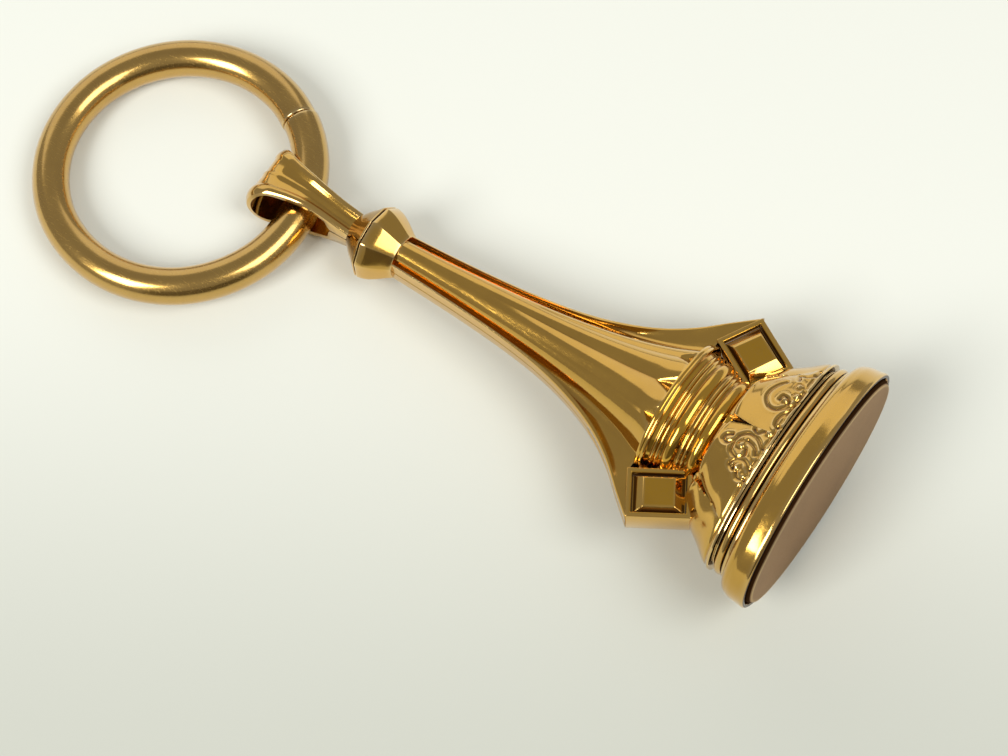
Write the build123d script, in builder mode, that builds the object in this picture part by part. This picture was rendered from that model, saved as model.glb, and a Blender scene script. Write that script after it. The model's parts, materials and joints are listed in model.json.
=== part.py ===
from build123d import *
import os
from math import acos, asin, atan2, cos, degrees, hypot, radians, sin, sqrt, tan

os.makedirs("parts", exist_ok=True)

# A seal fob for a pocket watch, lying on its back with its front up.
# Lengths are in millimetres and angles in degrees. +X runs from the jump ring to the
# seal, +Z is up from the surface that the fob lies on. Heights along the fob's own
# axis are measured from the face of the seal plate towards the bail.

# Seal plate and the bezel band round it, both oval
bezel_half_width = 8.05
bezel_half_depth = 5.1
bezel_wall = 0.28
bezel_height = 1.75
bezel_draft = 6.0
bezel_rounding = 0.65
bezel_lip_rounding = 0.08
plate_proud = 0.25
plate_thickness = 0.9
plate_bevel = 0.15
backing_thickness = 0.4
ledge_width = 1.3

# Base moulding above the bezel, with a bead wire in its groove
lip_setback = 0.05
lip_height = 0.2
groove_width = 0.65
moulding_height = 0.75
moulding_wall = 0.7
bead_radius = 0.28

# Bell-shaped foot with six lobes
foot_overhang = 0.4
foot_height = 3.25
foot_top_half_width = 4.25
foot_top_half_depth = 2.95
foot_wall = 0.4
lobe_crease_angle = 52.0

# Reeded drum between the ears
drum_half_width = 3.15
drum_half_depth = 2.65
drum_height = 3.5
sill_half_width = 4.45
sill_half_depth = 3.6
sill_height = 0.45
sill_rounding = 0.12
drum_inset = 0.35
drum_wall = 0.45
drum_deck = 0.3
band_radius = 0.42
reed_radius = 0.11

# Square ears at the sides
ear_height = 3.7
ear_width = 3.0
ear_half_depth = 0.82
ear_tilt = 30.0
ear_tip_offset = 7.36
ear_tip_drop = 1.39
ear_frame = 0.42
ear_recess = 0.3
ear_boss_rise = 0.22
ear_boss_slope = 0.5
ear_boss_gap = 0.12
ear_rounding = 0.08

# Fluted column, two stamped half shells
column_length = 18.8
wing_half_width = 6.14
panel_half_width = 3.85
column_half_depth = 3.2
panel_edge_half_depth = 1.55
panel_groove_width = 0.16
panel_groove_share = 0.42
column_wall = 0.35
plug_length = 1.6

# Knop, two faceted cups joined at the equator
knop_radius = 2.38
knop_foot_radius = 1.45
knop_neck_radius = 1.1
knop_lower_height = 2.0
knop_upper_height = 1.5
knop_wall = 0.35
knop_facets = 10

# Bail, one strip folded over into a loop
bail_height = 7.12
bail_half_depth = 1.9
bail_fold_half_width = 2.05
bail_crown = 0.4
bail_waist_half_width = 1.02
bail_neck_half_width = 0.86
bail_neck_half_depth = 0.85
bail_strip = 0.28
bail_rib_rise = 0.14
bail_rib_width = 0.5
bail_throat_half_depth = 0.3
bail_throat_height = 0.9
bail_belly_height = 3.1
bail_post_radius = 0.4
post_clearance = 0.02

# Jump ring, a split tube with a peg across its joint
ring_radius = 7.89
wire_radius = 1.13
wire_wall = 0.3
wire_clearance = 0.24
wire_slack = 0.25
ring_skew = 16.5
ring_seam_angle = 42.0
ring_seam_gap = 0.05
peg_clearance = 0.02
peg_length = 4.0

seat_clearance = 0.03
cut_overrun = 1.0

# Heights along the axis
bezel_top = plate_proud + bezel_height
lip_top = bezel_top + lip_height
moulding_top = lip_top + moulding_height
foot_top = moulding_top + foot_height
drum_top = foot_top + drum_height
column_top = drum_top + column_length
equator = column_top + knop_lower_height
knop_top = equator + knop_upper_height
bail_top = knop_top + bail_height
fold_centre = bail_top - bail_half_depth
bail_belly = knop_top + bail_belly_height

# The fob rests on the bezel's rounded edge beside the seal and on the fold of the bail,
# so the surface is the common tangent of those two rounds
draft_turn = radians(bezel_draft)
bezel_round_depth = bezel_half_depth - bezel_lip_rounding * (tan(draft_turn) + 1 / cos(draft_turn))
bezel_round_height = plate_proud + bezel_lip_rounding
rest_span = fold_centre - bail_crown / 2 - bezel_round_height
rest_tilt = degrees(
    acos((bail_half_depth - bezel_lip_rounding) / hypot(bezel_round_depth, rest_span))
    - atan2(rest_span, bezel_round_depth)
)
tilt_cos = cos(radians(rest_tilt))
tilt_sin = sin(radians(rest_tilt))
seal_lift = bezel_round_depth * tilt_cos + bezel_round_height * tilt_sin + bezel_lip_rounding

# The ring's wire lies on the back leaf of the bail, and its far side on the surface
pivot_height = fold_centre - wire_radius - wire_slack
pivot_depth = bail_half_depth - bail_strip - bail_rib_rise - wire_radius - wire_clearance
pivot_lift = seal_lift - pivot_depth * tilt_cos - pivot_height * tilt_sin
ring_tilt = degrees(asin((pivot_lift - wire_radius) / (2 * ring_radius)))
ring_reach = Vector(
    -cos(radians(ring_skew)) * cos(radians(ring_tilt)),
    -sin(radians(ring_skew)) * cos(radians(ring_tilt)),
    -sin(radians(ring_tilt)),
)
ring_hinge = Vector(sin(radians(ring_skew)), -cos(radians(ring_skew)), 0)
ring_normal = ring_reach.cross(ring_hinge)

# The origin is under the middle of the whole fob
plate_half_width = bezel_half_width - bezel_wall - seat_clearance
plate_half_depth = bezel_half_depth - bezel_wall - seat_clearance
seal_corner = (plate_half_depth - plate_bevel) * tilt_sin
pivot_from_seal = -pivot_height * tilt_cos + pivot_depth * tilt_sin
ring_middle_x = pivot_from_seal + ring_reach.X * ring_radius
ring_middle_y = ring_reach.Y * ring_radius
ring_extent_x = ring_radius * sqrt(1 - ring_normal.X**2) + wire_radius
ring_extent_y = ring_radius * sqrt(1 - ring_normal.Y**2) + wire_radius
seal_x = (ring_extent_x - ring_middle_x - seal_corner) / 2
axis_y = (ring_extent_y - ring_middle_y - bezel_half_width) / 2

BODY = Plane(
    origin=(seal_x, axis_y, seal_lift),
    x_dir=(0, 1, 0),
    z_dir=(-tilt_cos, 0, -tilt_sin),
)
FRONT = Plane(origin=BODY.origin, x_dir=(0, 1, 0), z_dir=(-tilt_sin, 0, tilt_cos))
SIDE = Plane(origin=BODY.origin, x_dir=(-tilt_sin, 0, tilt_cos), z_dir=(0, -1, 0))
PIVOT = BODY.from_local_coords(Vector(0, pivot_depth, pivot_height))
RING = Plane(
    origin=PIVOT + ring_reach * ring_radius,
    x_dir=ring_reach * -1,
    z_dir=ring_normal,
)

AXIS = Axis(BODY.origin, BODY.z_dir)


def level(height):
    """Plane across the axis at this height, x to the right side and y to the back."""
    return BODY.offset(height)


def oval(height, half_width, half_depth):
    """Oval section across the axis."""
    with BuildSketch(level(height)) as section:
        Ellipse(half_width, half_depth)
    return section.sketch


def round_section(height, radius):
    """Round section across the axis."""
    with BuildSketch(level(height)) as section:
        Circle(radius)
    return section.sketch


def oval_path(height, half_width, half_depth):
    """Oval line across the axis."""
    with BuildLine(level(height)) as path:
        EllipticalCenterArc((0, 0), half_width, half_depth, start_angle=0, arc_size=360)
    return path.line


def wire_section(path, radius):
    """Round section of a wire that follows this path."""
    with BuildSketch(Plane(origin=path @ 0, z_dir=path % 0)) as section:
        Circle(radius)
    return section.sketch


def between(start, end, share):
    """Size this share of the way from start to end."""
    return start + (end - start) * share


# Seal plate
with BuildPart() as seal_plate:
    extrude(oval(0, plate_half_width, plate_half_depth), amount=plate_thickness)
    chamfer(seal_plate.edges().sort_by(AXIS)[0], length=plate_bevel)

# Backing disc between the seal plate and the bezel's ledge
backing_top = plate_thickness + backing_thickness
with BuildPart() as seal_backing:
    backing = oval(plate_thickness, plate_half_width, plate_half_depth)
    extrude(backing, amount=backing_thickness)

# Bezel band: its section, x up the axis and y outwards, follows the oval
seat_height = backing_top - plate_proud
shoulder_inset = bezel_height * tan(draft_turn)
window_inset = bezel_wall + seat_clearance + ledge_width
with BuildPart() as bezel_band:
    rim = oval_path(plate_proud, bezel_half_width, bezel_half_depth)
    with BuildSketch(Plane(origin=rim @ 0, x_dir=BODY.z_dir, z_dir=rim % 0)) as band_section:
        with BuildLine():
            Polyline(
                (0, 0),
                (bezel_height, -shoulder_inset),
                (bezel_height, -window_inset),
                (seat_height, -window_inset),
                (seat_height, -bezel_wall),
                (0, -bezel_wall),
                close=True,
            )
        make_face()
        lip, shoulder = (0, 0), (bezel_height, -shoulder_inset)
        fillet(band_section.vertices().sort_by_distance(shoulder)[0], radius=bezel_rounding)
        fillet(band_section.vertices().sort_by_distance(lip)[0], radius=bezel_lip_rounding)
    sweep(band_section.sketch, path=rim)

# Base moulding: a thin lip and the floor of the groove for the bead
lip_inset = shoulder_inset + bezel_rounding + lip_setback
lip_half_width = bezel_half_width - lip_inset
lip_half_depth = bezel_half_depth - lip_inset
moulding_half_width = lip_half_width - groove_width
moulding_half_depth = lip_half_depth - groove_width
with BuildPart() as base_moulding:
    extrude(oval(bezel_top, lip_half_width, lip_half_depth), amount=lip_height)
    extrude(oval(lip_top, moulding_half_width, moulding_half_depth), amount=moulding_height)
    bore = oval(bezel_top, moulding_half_width - moulding_wall, moulding_half_depth - moulding_wall)
    extrude(bore, amount=moulding_top - bezel_top, mode=Mode.SUBTRACT)

# Bead wire lying in the groove
with BuildPart() as bead_wire:
    bead_path = oval_path(
        lip_top + bead_radius + seat_clearance,
        moulding_half_width + bead_radius + seat_clearance,
        moulding_half_depth + bead_radius + seat_clearance,
    )
    sweep(wire_section(bead_path, bead_radius), path=bead_path)

# Bell-shaped foot: each station is a share of its height, of the way out from the top
# to the rim, and of the depth that the creases between the lobes are let in
foot_height_shares = (0.0, 0.15, 0.4, 0.68, 1.0)
foot_spread_shares = (1.0, 0.93, 0.68, 0.42, 0.0)
foot_crease_shares = (0.0, 0.01, 0.03, 0.06, 0.09)
foot_half_width = moulding_half_width + foot_overhang
foot_half_depth = moulding_half_depth + foot_overhang
right_crease = 90 - lobe_crease_angle
crease_angles = (-90, -right_crease, right_crease, 90, 180 - right_crease, 180 + right_crease, 270)


def lobed_oval(height, half_width, half_depth, crease_share):
    """Oval section of six arcs that meet in creases."""

    def rim(angle, share):
        turn = radians(angle)
        return (half_width * share * cos(turn), half_depth * share * sin(turn))

    with BuildSketch(level(height)) as section:
        with BuildLine():
            for start, end in zip(crease_angles, crease_angles[1:]):
                inner = 1 - crease_share
                ThreePointArc(rim(start, inner), rim((start + end) / 2, 1), rim(end, inner))
        make_face()
    return section.sketch


with BuildPart() as foot_body:
    outside = [
        lobed_oval(
            between(moulding_top, foot_top, height),
            between(foot_top_half_width, foot_half_width, spread),
            between(foot_top_half_depth, foot_half_depth, spread),
            crease,
        )
        for height, spread, crease in zip(foot_height_shares, foot_spread_shares, foot_crease_shares)
    ]
    loft(outside)

with BuildPart() as foot_bell:
    add(foot_body.part)
    inside = [
        oval(
            between(moulding_top, foot_top - foot_wall, height),
            between(foot_top_half_width, foot_half_width, spread) - 2 * foot_wall,
            between(foot_top_half_depth, foot_half_depth, spread) - 2 * foot_wall,
        )
        for height, spread in zip(foot_height_shares, foot_spread_shares)
    ]
    loft(inside, mode=Mode.SUBTRACT)

# Reeded drum: a flaring oval wall with two broad bands and two pairs of fine reeds
band_height_shares = (0.13, 0.53)
reed_height_shares = (0.30, 0.37, 0.70, 0.77)
band_sink = band_radius / 2
reed_sink = reed_radius / 4
drum_throat = drum_top - sill_height


def drum_half_sizes(height):
    """Half width and half depth of the drum's plain wall at this height."""
    share = (height - foot_top) / (drum_throat - foot_top)
    return (
        between(drum_half_width, sill_half_width - drum_inset, share),
        between(drum_half_depth, sill_half_depth - drum_inset, share),
    )


with BuildPart() as reeded_drum:
    loft([oval(height, *drum_half_sizes(height)) for height in (foot_top, drum_throat)])
    extrude(oval(drum_throat, sill_half_width, sill_half_depth), amount=sill_height)
    fillet(reeded_drum.edges().sort_by(AXIS)[-1], radius=sill_rounding)
    ribs = [(share, band_radius, band_sink) for share in band_height_shares]
    ribs += [(share, reed_radius, reed_sink) for share in reed_height_shares]
    for share, radius, sink in ribs:
        height = between(foot_top, drum_top, share)
        wall_half_width, wall_half_depth = drum_half_sizes(height)
        rib_path = oval_path(height, wall_half_width - sink, wall_half_depth - sink)
        sweep(wire_section(rib_path, radius), path=rib_path)
    inside = [
        oval(height, *(size - drum_wall for size in drum_half_sizes(height)))
        for height in (foot_top, drum_top - drum_deck)
    ]
    loft(inside, mode=Mode.SUBTRACT)

# Space that the drum takes up, which the ears are cut round
band_reach = band_radius - band_sink + seat_clearance
with BuildPart() as drum_space:
    sill_reach = (sill_half_width + seat_clearance, sill_half_depth + seat_clearance)
    space_foot = oval(foot_top, drum_half_width + band_reach, drum_half_depth + band_reach)
    space_throat = oval(drum_throat, *sill_reach)
    loft([space_foot, space_throat])
    extrude(space_throat, amount=sill_height + cut_overrun)

# Square ears, each coffered on both faces
ear_turn = radians(ear_tilt)
ear_tip = (ear_tip_offset, drum_top - ear_tip_drop)
ear_centre = (
    ear_tip[0] - (ear_height * sin(ear_turn) + ear_width * cos(ear_turn)) / 2,
    ear_tip[1] - (ear_height * cos(ear_turn) - ear_width * sin(ear_turn)) / 2,
)
ear_shoulder = (
    ear_tip[0] - ear_width * cos(ear_turn),
    ear_tip[1] + ear_width * sin(ear_turn),
)


def ear_square(depth, border):
    """Outline of the ear on a plane this far in front of the middle."""
    with BuildSketch(FRONT.offset(depth)) as square:
        with Locations(ear_centre):
            Rectangle(ear_width - 2 * border, ear_height - 2 * border, rotation=-ear_tilt)
    return square.sketch


with BuildPart() as right_ear:
    extrude(ear_square(0, 0), amount=ear_half_depth)
    front_face = right_ear.faces().sort_by(Axis(FRONT.origin, FRONT.z_dir))[-1]
    fillet(front_face.edges(), radius=ear_rounding)
    extrude(ear_square(ear_half_depth, ear_frame), amount=-ear_recess, mode=Mode.SUBTRACT)
    boss_foot = ear_square(ear_half_depth - ear_recess, ear_frame + ear_boss_gap)
    extrude(boss_foot, amount=ear_boss_rise, taper=degrees(atan2(ear_boss_slope, ear_boss_rise)))
    mirror(about=FRONT)
    add(drum_space.part, mode=Mode.SUBTRACT)
    add(foot_body.part, mode=Mode.SUBTRACT)

with BuildPart() as left_ear:
    mirror(right_ear.part, about=SIDE)

# Fluted column: the stations are shares of its length, and at each one the shares of
# the wings' spread, of the panel's spread, of the depth at the middle and at the
# panel's edge, and the rise of each lobe as a share of its chord
column_height_shares = (-0.09, 0.0, 0.08, 0.17, 0.28, 0.41, 0.56, 0.71, 0.86, 1.0)
wing_spread_shares = (1.25, 1.015, 0.80, 0.62, 0.475, 0.36, 0.285, 0.24, 0.21, 0.19)
panel_spread_shares = (1.12, 1.0, 0.835, 0.69, 0.56, 0.45, 0.365, 0.308, 0.265, 0.24)
column_depth_shares = (1.10, 1.0, 0.875, 0.76, 0.66, 0.575, 0.51, 0.465, 0.435, 0.42)
panel_edge_shares = (1.05, 1.0, 0.95, 0.90, 0.855, 0.81, 0.76, 0.715, 0.675, 0.64)
lobe_rise_shares = (0.14, 0.14, 0.14, 0.135, 0.13, 0.12, 0.105, 0.09, 0.075, 0.06)
side_flute_share = 0.56
side_flute_depth_share = 0.83
column_stations = list(
    zip(
        column_height_shares,
        wing_spread_shares,
        panel_spread_shares,
        column_depth_shares,
        panel_edge_shares,
        lobe_rise_shares,
    )
)


def column_corners(wing_share, panel_share, depth_share, edge_share, inset):
    """Corners of the right half of the front outline, from the side to the middle."""
    wing = wing_half_width * wing_share - inset
    panel = panel_half_width * panel_share
    edge_depth = panel_edge_half_depth * edge_share
    middle_depth = column_half_depth * depth_share
    groove_depth = edge_depth * panel_groove_share
    flute = (panel - inset) * side_flute_share
    flute_depth = between(edge_depth, middle_depth, side_flute_depth_share)
    return [
        (wing, 0),
        (wing, -(ear_half_depth - inset)),
        (panel + panel_groove_width - inset, -(groove_depth - inset)),
        (panel - inset, -(edge_depth - inset)),
        (flute, -(flute_depth - inset)),
        (0, -(middle_depth - inset)),
    ]


def lobe(start, end, rise_share):
    """Arc from one flute to the next, bowed out to the front."""
    across = end[0] - start[0]
    back = end[1] - start[1]
    middle_x = (start[0] + end[0]) / 2 - back * rise_share
    middle_y = (start[1] + end[1]) / 2 + across * rise_share
    ThreePointArc(start, (middle_x, middle_y), end)


def column_outline(station):
    """Front half of the column's section, with its panel of four lobes."""
    height, wing, panel, depth, edge, rise = station
    right = column_corners(wing, panel, depth, edge, 0)
    left = [(-x, y) for x, y in reversed(right)]
    edge, flute = 3, 4
    with BuildSketch(level(between(drum_top, column_top, height))) as section:
        with BuildLine():
            Polyline(*right[: edge + 1])
            for start, end in zip(right[edge:], right[flute:]):
                lobe(start, end, rise)
            for start, end in zip(left, left[1 : len(left) - edge]):
                lobe(start, end, rise)
            Polyline(*left[-edge - 1 :], right[0])
        make_face()
    return section.sketch


def column_hollow(station):
    """Space inside the front half of the column."""
    height, wing, panel, depth, edge, rise = station
    right = column_corners(wing, panel, depth, edge, column_wall)
    left = [(-x, y) for x, y in reversed(right[:-1])]
    with BuildSketch(level(between(drum_top, column_top, height))) as section:
        with BuildLine():
            Polyline(*right, *left, close=True)
        make_face()
    return section.sketch


# Everything below the sill and below the tops of the ears
ear_run = (cos(ear_turn) * cut_overrun, sin(ear_turn) * cut_overrun)
ear_line_end = (ear_tip[0] + ear_run[0], ear_tip[1] - ear_run[1])
skirt_floor = foot_top

with BuildPart() as column_front_shell:
    loft([column_outline(station) for station in column_stations])
    loft([column_hollow(station) for station in column_stations], mode=Mode.SUBTRACT)
    with BuildSketch(FRONT):
        with BuildLine():
            Polyline(
                (ear_line_end[0], skirt_floor),
                ear_line_end,
                ear_shoulder,
                (ear_shoulder[0], drum_top),
                (-ear_shoulder[0], drum_top),
                (-ear_shoulder[0], ear_shoulder[1]),
                (-ear_line_end[0], ear_line_end[1]),
                (-ear_line_end[0], skirt_floor),
                close=True,
            )
        make_face()
    extrude(amount=column_half_depth + cut_overrun, both=True, mode=Mode.SUBTRACT)

with BuildPart() as column_back_shell:
    mirror(column_front_shell.part, about=FRONT)

# Plug that closes the column's top and holds the bail's post
post_foot = column_top - plug_length / 2
plug_seat = panel_half_width * panel_spread_shares[-1] + panel_groove_width - column_wall
plug_radius = plug_seat - seat_clearance
with BuildPart() as column_plug:
    extrude(round_section(column_top - plug_length, plug_radius), amount=plug_length)
    socket = round_section(post_foot, bail_post_radius + post_clearance)
    extrude(socket, amount=plug_length, mode=Mode.SUBTRACT)

# Knop: the stations are shares of each cup's height and of the way out to the equator
lower_height_shares = (0.0, 0.5, 0.96)
lower_spread_shares = (0.0, 0.62, 1.0)
upper_height_shares = (0.05, 0.32, 0.66, 1.0)
upper_spread_shares = (1.0, 0.74, 0.38, 0.0)


def facet_section(height, radius):
    """Section of the knop with a corner to the front."""
    with BuildSketch(level(height)) as section:
        RegularPolygon(radius, knop_facets, rotation=180 / knop_facets)
    return section.sketch


knop_bore = round_section(column_top - cut_overrun, bail_post_radius + post_clearance)
knop_bore_length = knop_top - column_top + 2 * cut_overrun

with BuildPart() as knop_lower_cup:
    outside = [
        facet_section(
            between(column_top, equator, height),
            between(knop_foot_radius, knop_radius, spread),
        )
        for height, spread in zip(lower_height_shares, lower_spread_shares)
    ]
    loft(outside, ruled=True)
    extrude(outside[-1], amount=knop_lower_height * (1 - lower_height_shares[-1]))
    inside = [
        facet_section(column_top + knop_wall, knop_foot_radius - knop_wall),
        facet_section(equator, knop_radius - knop_wall),
    ]
    loft(inside, ruled=True, mode=Mode.SUBTRACT)
    extrude(knop_bore, amount=knop_bore_length, mode=Mode.SUBTRACT)

with BuildPart() as knop_upper_cup:
    extrude(facet_section(equator, knop_radius), amount=knop_upper_height * upper_height_shares[0])
    outside = [
        facet_section(
            between(equator, knop_top, height),
            between(knop_neck_radius, knop_radius, spread),
        )
        for height, spread in zip(upper_height_shares, upper_spread_shares)
    ]
    loft(outside, ruled=True)
    inside = [
        facet_section(equator, knop_radius - 2 * knop_wall),
        facet_section(knop_top - knop_wall, knop_neck_radius - knop_wall),
    ]
    loft(inside, ruled=True, mode=Mode.SUBTRACT)
    extrude(knop_bore, amount=knop_bore_length, mode=Mode.SUBTRACT)


def bail_loop(inset, foot_half_depth, foot_height, offset, drop):
    """Outline of the loop in side view, this far inside the bail's outermost surface."""
    half_depth = bail_half_depth - inset
    centre = fold_centre - drop
    with BuildSketch(SIDE.offset(offset)) as outline:
        with BuildLine():
            ThreePointArc((half_depth, centre), (0, centre + half_depth), (-half_depth, centre))
            Polyline(
                (-half_depth, centre),
                (-half_depth, bail_belly),
                (-foot_half_depth, foot_height),
                (foot_half_depth, foot_height),
                (half_depth, bail_belly),
                (half_depth, centre),
            )
        make_face()
    return outline.sketch


def crowned_loop(inset, foot_half_depth, foot_height):
    """Outlines across the bail's width, with the fold furthest out in the middle."""
    width = bail_fold_half_width
    stations = ((-width, bail_crown), (0, 0), (width, bail_crown))
    return [bail_loop(inset, foot_half_depth, foot_height, *station) for station in stations]


def bail_taper(inset):
    """Outline of the leaves in front view, narrow at the neck and wide at the fold."""
    neck = bail_neck_half_width - inset
    waist = bail_waist_half_width - inset
    fold = bail_fold_half_width - inset
    waist_height = between(knop_top, bail_top, bail_waist_share)
    with BuildSketch(FRONT) as outline:
        with BuildLine():
            Line((-neck, knop_top), (neck, knop_top))
            ThreePointArc((neck, knop_top), (waist, waist_height), (fold, bail_top))
            Line((fold, bail_top), (-fold, bail_top))
            ThreePointArc((-fold, bail_top), (-waist, waist_height), (-neck, knop_top))
        make_face()
    return outline.sketch


# Flute down the outside of the strip, between its two raised edges
bail_waist_share = 0.42
bail_reach = bail_half_depth + cut_overrun
with BuildPart() as bail_channel:
    loft(crowned_loop(-cut_overrun, bail_neck_half_depth + cut_overrun, knop_top))
    loft(crowned_loop(bail_rib_rise, bail_neck_half_depth, knop_top), mode=Mode.SUBTRACT)
    extrude(bail_taper(bail_rib_width), amount=bail_reach, both=True, mode=Mode.INTERSECT)

# Bail: the strip's loop seen from the side, cut to its taper seen from the front
with BuildPart() as bail:
    loft(crowned_loop(0, bail_neck_half_depth, knop_top))
    strip = bail_strip + bail_rib_rise
    eye = crowned_loop(strip, bail_throat_half_depth, knop_top + bail_throat_height)
    loft(eye, mode=Mode.SUBTRACT)
    extrude(bail_taper(0), amount=bail_reach, both=True, mode=Mode.INTERSECT)
    add(bail_channel.part, mode=Mode.SUBTRACT)
    post_hole = round_section(knop_top, bail_post_radius + post_clearance)
    extrude(post_hole, amount=bail_throat_height, mode=Mode.SUBTRACT)

# Post that ties the bail through the knop to the column's plug
with BuildPart() as bail_post:
    post = round_section(post_foot, bail_post_radius)
    extrude(post, amount=knop_top + bail_throat_height - post_foot)

# Jump ring, a split tube, and the peg inside its joint
ring_gap_angle = degrees(ring_seam_gap / ring_radius)
peg_angle = degrees(peg_length / ring_radius)


def ring_arc(start_angle, turn):
    """Part of the ring's own circle, measured from where it crosses the bail."""
    with BuildLine(RING) as path:
        CenterArc((0, 0), ring_radius, start_angle, turn)
    return path.line


with BuildPart() as jump_ring:
    tube_path = ring_arc(ring_seam_angle + ring_gap_angle / 2, 360 - ring_gap_angle)
    sweep(wire_section(tube_path, wire_radius), path=tube_path)
    bore = wire_section(tube_path, wire_radius - wire_wall)
    sweep(bore, path=tube_path, mode=Mode.SUBTRACT)

with BuildPart() as ring_joint_peg:
    peg_path = ring_arc(ring_seam_angle - peg_angle / 2, peg_angle)
    sweep(wire_section(peg_path, wire_radius - wire_wall - peg_clearance), path=peg_path)

pieces = {
    "jump_ring": jump_ring,
    "ring_joint_peg": ring_joint_peg,
    "bail": bail,
    "bail_post": bail_post,
    "knop_upper_cup": knop_upper_cup,
    "knop_lower_cup": knop_lower_cup,
    "column_plug": column_plug,
    "column_front_shell": column_front_shell,
    "column_back_shell": column_back_shell,
    "left_ear": left_ear,
    "right_ear": right_ear,
    "reeded_drum": reeded_drum,
    "foot_bell": foot_bell,
    "base_moulding": base_moulding,
    "bead_wire": bead_wire,
    "bezel_band": bezel_band,
    "seal_backing": seal_backing,
    "seal_plate": seal_plate,
}
for name, piece in pieces.items():
    piece.part.label = name
    export_step(piece.part, f"parts/{name}.step")

print("rest tilt", round(rest_tilt, 4), "ring tilt", round(ring_tilt, 4))
print("seal face", tuple(BODY.origin), "outward", tuple(BODY.z_dir * -1))
print("ring pivot", tuple(PIVOT), "hinge", tuple(ring_hinge * -1))
print("ring middle", tuple(RING.origin), "normal", tuple(ring_normal))
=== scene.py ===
import json
from itertools import accumulate
from math import atan2, cos, degrees, hypot, pi, radians, sin, sqrt, tan

import bmesh
import bpy
import numpy as np
from bpy.props import FloatProperty, FloatVectorProperty, PointerProperty
from mathutils import Matrix, Vector


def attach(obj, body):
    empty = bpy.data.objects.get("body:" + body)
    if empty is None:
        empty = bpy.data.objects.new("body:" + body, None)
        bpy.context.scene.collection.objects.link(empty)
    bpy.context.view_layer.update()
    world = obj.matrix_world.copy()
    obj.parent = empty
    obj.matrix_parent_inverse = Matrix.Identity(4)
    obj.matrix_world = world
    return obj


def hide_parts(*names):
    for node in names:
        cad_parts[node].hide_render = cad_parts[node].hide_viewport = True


bl_info = {
    "name": "Seal Fob",
    "version": (1, 0, 0),
    "blender": (4, 5, 0),
    "location": "3D View > Sidebar > Fob",
    "description": "Builds the looks of a gold-filled seal fob round its CAD frame",
    "category": "Object",
}

# The fob is modelled in millimetres in its own frame: x to its right side, y to its
# back and z up its axis from the face of the seal plate. The ring has a frame of its
# own: x towards the bail and z across the ring.
MM = 0.001

# Sizes that the panel doesn't list, in millimetres as in the CAD
DRAFT = tan(radians(6.0))
SHOULDER = 0.65
LIP_HEIGHT = 0.2
LIP_SETBACK = 0.05
MOULDING_HEIGHT = 0.75
GROOVE = 0.65
CLEARANCE = 0.03
DRUM_BOTTOM, DRUM_TOP = (3.15, 2.65), (4.10, 3.25)
SILL, SILL_HEIGHT = (4.45, 3.6), 0.45
PANEL_EDGE_DEPTH = 1.55
KNOP_LOWER, KNOP_UPPER = 2.0, 1.5
EAR_TILT = radians(30.0)
EAR_TIP, EAR_TIP_BELOW_SILL = 7.36, 1.39

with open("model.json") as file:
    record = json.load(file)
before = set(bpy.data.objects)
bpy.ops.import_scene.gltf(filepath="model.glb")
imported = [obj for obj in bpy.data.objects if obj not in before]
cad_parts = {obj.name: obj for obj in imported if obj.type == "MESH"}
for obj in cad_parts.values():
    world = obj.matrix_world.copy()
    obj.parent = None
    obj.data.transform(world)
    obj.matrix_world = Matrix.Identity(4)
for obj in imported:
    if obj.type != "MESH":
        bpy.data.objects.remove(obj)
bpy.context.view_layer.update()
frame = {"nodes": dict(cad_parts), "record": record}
record = frame["record"]
mounts = {mount["name"]: mount for mount in record["mounts"]}


def placing(origin, across, up):
    """Matrix from millimetres in a piece's own frame to the row frame."""
    deep = up.cross(across)
    turn = Matrix((across, deep, up)).transposed()
    return Matrix.Translation(origin) @ (turn * MM).to_4x4()


seal = mounts["seal_face"]
eye = mounts["ring_eye"]
swing = record["behaviour"]["joints"][0]
up_axis = -Vector(seal["axis"]).normalized()
BODY = placing(Vector(seal["pos_m"]), Vector((0, 1, 0)), up_axis)
ring_axis = Vector(eye["axis"]).normalized()
to_bail = Vector(swing["pos_m"]) - Vector(eye["pos_m"])
to_bail = (to_bail - ring_axis * to_bail.dot(ring_axis)).normalized()
RING = placing(Vector(eye["pos_m"]), to_bail, ring_axis)


def size(label, note, millimetres):
    """Length that a user can change, kept in metres."""
    return FloatProperty(
        name=label, description=note, default=millimetres * MM, min=0.0, precision=5, unit="LENGTH"
    )


def colour(label, note, value):
    """Colour that a user can change."""
    return FloatVectorProperty(
        name=label, description=note, default=value, size=3, min=0.0, max=1.0, subtype="COLOR"
    )


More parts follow.
